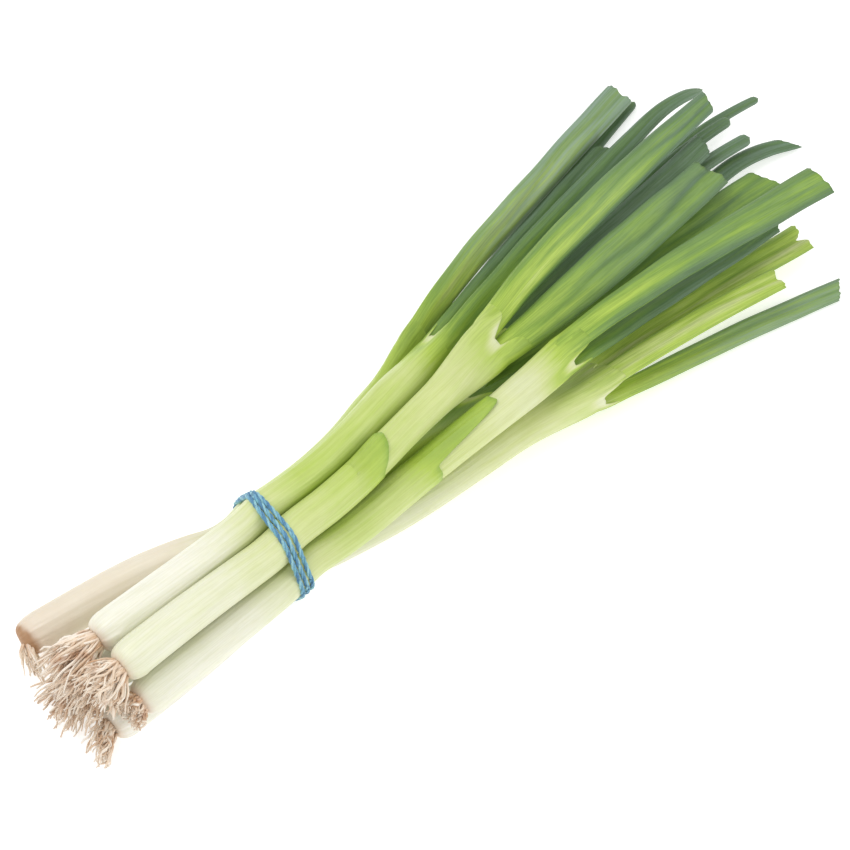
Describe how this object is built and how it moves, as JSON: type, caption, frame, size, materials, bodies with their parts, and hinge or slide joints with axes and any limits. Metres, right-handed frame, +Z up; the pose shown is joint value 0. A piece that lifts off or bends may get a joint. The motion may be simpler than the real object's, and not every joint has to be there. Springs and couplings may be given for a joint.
{
  "type": "spring onion bunch",
  "caption": "Bunch of spring onions lying down, white stems with curly roots at one end and fanned hollow green leaves at the other, held by one twine tie.",
  "frame": {"origin": "middle of the bunch's box, on the surface it lies on", "axes": "+X along the bunch from the roots to the leaf tips, +Z up from the surface it lies on"},
  "size_m": [0.3694, 0.1244, 0.0415],
  "materials": {
    "stem": "satin",
    "inner_stem": "satin",
    "leaf": "satin, waxy",
    "root": "matt, fibrous",
    "tie": "matt twine"
  },
  "bodies": {
    "root": {"onion_1_leaf_1": "leaf", "onion_1_leaf_2": "leaf", "onion_1_roots": "root", "onion_1_stem": "stem", "onion_2_leaf_1": "leaf", "onion_2_leaf_2": "leaf", "onion_2_roots": "root", "onion_2_stem": "stem", "onion_3_inner_stem": "inner_stem", "onion_3_leaf_1": "leaf", "onion_3_leaf_2": "leaf", "onion_3_roots": "root", "onion_3_stem": "stem", "onion_4_inner_stem": "inner_stem", "onion_4_leaf_1": "leaf", "onion_4_leaf_2": "leaf", "onion_4_roots": "root", "onion_4_stem": "stem", "onion_5_leaf_1": "leaf", "onion_5_leaf_2": "leaf", "onion_5_leaf_3": "leaf", "onion_5_roots": "root", "onion_5_stem": "stem", "onion_6_leaf_1": "leaf", "onion_6_leaf_2": "leaf", "onion_6_leaf_3": "leaf", "onion_6_roots": "root", "onion_6_stem": "stem", "onion_7_leaf_1": "leaf", "onion_7_leaf_2": "leaf", "onion_7_leaf_3": "leaf", "onion_7_roots": "root", "onion_7_stem": "stem", "tie": "tie"}
  },
  "joints": []
}
